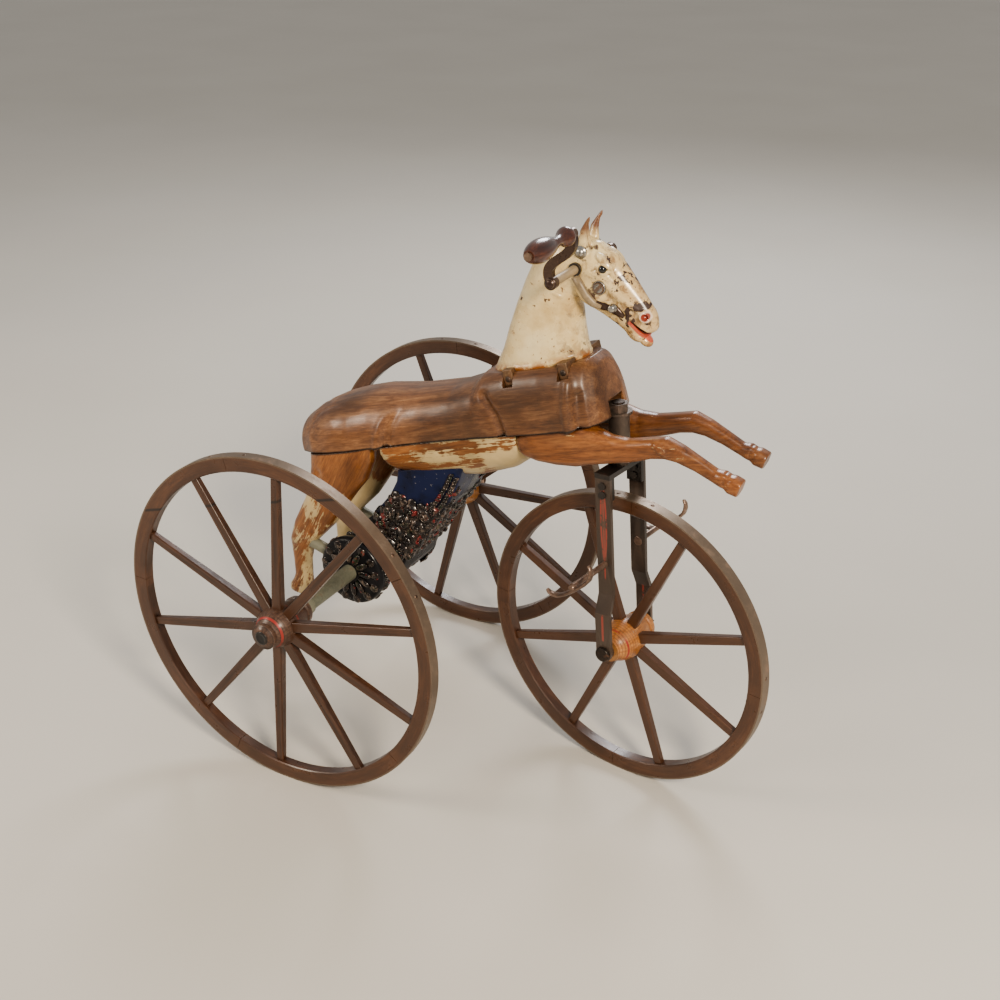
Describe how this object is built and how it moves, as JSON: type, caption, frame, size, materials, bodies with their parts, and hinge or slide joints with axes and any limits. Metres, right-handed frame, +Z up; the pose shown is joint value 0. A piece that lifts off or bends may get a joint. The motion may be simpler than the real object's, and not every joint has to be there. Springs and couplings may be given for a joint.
{
  "type": "children's tricycle",
  "caption": "Hand-cranked children's tricycle in the form of a galloping horse, with iron-tyred spoked wooden wheels, a chain drive to the rear axle and a steered front fork.",
  "frame": {"origin": "on the floor under the middle of the whole tricycle", "axes": "+X forward, +Y to the horse's left, +Z up"},
  "size_m": [0.9746, 0.649, 0.9146],
  "materials": {
    "varnished_wood": "worn varnish",
    "belly_paint": "worn paint",
    "leg_paint": "worn paint",
    "head_paint": "aged gloss paint",
    "eye_black": "gloss",
    "bright_steel": "worn",
    "bolt_iron": "rusted",
    "bush_brass": "dull",
    "case_paint": "worn gloss paint",
    "tube_paint": "worn",
    "dark_iron": "worn",
    "chain_steel": "oily",
    "black_iron": "worn satin",
    "dark_hub_wood": "old worn",
    "wheel_wood": "old worn",
    "tyre_iron": "worn",
    "hub_wood": "old varnish",
    "bare_iron": "worn bare",
    "grip_wood": "gloss varnish"
  },
  "bodies": {
    "frame": {"trunk": "varnished_wood", "belly": "belly_paint", "hind_leg_right": "leg_paint", "hind_leg_left": "leg_paint", "foreleg_right": "leg_paint", "foreleg_left": "leg_paint", "head_right": "head_paint", "head_left": "head_paint", "eyes": "eye_black", "bit": "bright_steel", "head_bolts": "bolt_iron", "neck_screws": "bolt_iron", "crank_bushes": "bush_brass", "chain_case_right": "case_paint", "chain_case_left": "case_paint", "wood_screws": "bolt_iron", "axle_tube_right": "tube_paint", "axle_tube_left": "tube_paint", "axle_bushes": "bush_brass", "hock_rods": "tube_paint", "steering_head": "dark_iron", "drive_chain": "chain_steel"},
    "rear_axle": {"rear_axle": "bright_steel", "axle_sprocket": "chain_steel", "axle_nuts": "black_iron", "drive_pin": "bolt_iron", "right_wheel_hub": "dark_hub_wood", "right_wheel_spokes": "wheel_wood", "right_wheel_felloes": "wheel_wood", "right_wheel_tyre": "tyre_iron"},
    "left_wheel": {"left_wheel_hub": "hub_wood", "left_wheel_hub_box": "dark_iron", "left_wheel_spokes": "wheel_wood", "left_wheel_felloes": "wheel_wood", "left_wheel_tyre": "tyre_iron"},
    "fork": {"fork_crown": "black_iron", "fork_leg_right": "black_iron", "fork_leg_left": "black_iron", "fork_rivets": "black_iron", "steering_stem": "dark_iron", "stem_washer": "dark_iron", "stem_nut": "dark_iron", "front_axle": "dark_iron", "front_axle_nuts": "dark_iron", "foot_rest_right": "bare_iron", "foot_rest_left": "bare_iron"},
    "front_wheel": {"front_wheel_hub": "hub_wood", "front_wheel_hub_box": "dark_iron", "front_wheel_spokes": "wheel_wood", "front_wheel_felloes": "wheel_wood", "front_wheel_tyre": "tyre_iron"},
    "crank": {"crank_shaft": "dark_iron", "crank_sprocket": "chain_steel", "crank_arm_right": "dark_iron", "crank_arm_left": "dark_iron", "grip_spindles": "dark_iron"},
    "grip_right": {"grip_right": "grip_wood"},
    "grip_left": {"grip_left": "grip_wood"}
  },
  "joints": [
    {"name": "rear_axle_spin", "type": "hinge", "parent": "frame", "child": "rear_axle", "pos_m": [-0.2074, 0, 0.28], "axis": [0, 1, 0], "continuous": true, "deforming": ["drive_chain"]},
    {"name": "left_wheel_spin", "type": "hinge", "parent": "rear_axle", "child": "left_wheel", "pos_m": [-0.2074, 0.281, 0.28], "axis": [0, 1, 0], "continuous": true},
    {"name": "crank_spin", "type": "hinge", "parent": "frame", "child": "crank", "pos_m": [0.1566, 0, 0.828], "axis": [0, 1, 0], "continuous": true},
    {"name": "grip_right_spin", "type": "hinge", "parent": "crank", "child": "grip_right", "pos_m": [0.18383, -0.098, 0.89895], "axis": [0, 1, 0], "continuous": true},
    {"name": "grip_left_spin", "type": "hinge", "parent": "crank", "child": "grip_left", "pos_m": [0.12936, 0.084, 0.75705], "axis": [0, 1, 0], "continuous": true},
    {"name": "fork_steer", "type": "hinge", "parent": "frame", "child": "fork", "pos_m": [0.2446, 0, 0.24409], "axis": [-0.0698, 0, 0.9976], "range_deg": [-26.5, 43.5]},
    {"name": "front_wheel_spin", "type": "hinge", "parent": "fork", "child": "front_wheel", "pos_m": [0.2446, 0, 0.24409], "axis": [0.1474, 0.989, 0.0103], "continuous": true}
  ],
  "couplings": [
    {"joint": "crank_spin", "follows": "rear_axle_spin", "ratio": 1.5}
  ]
}
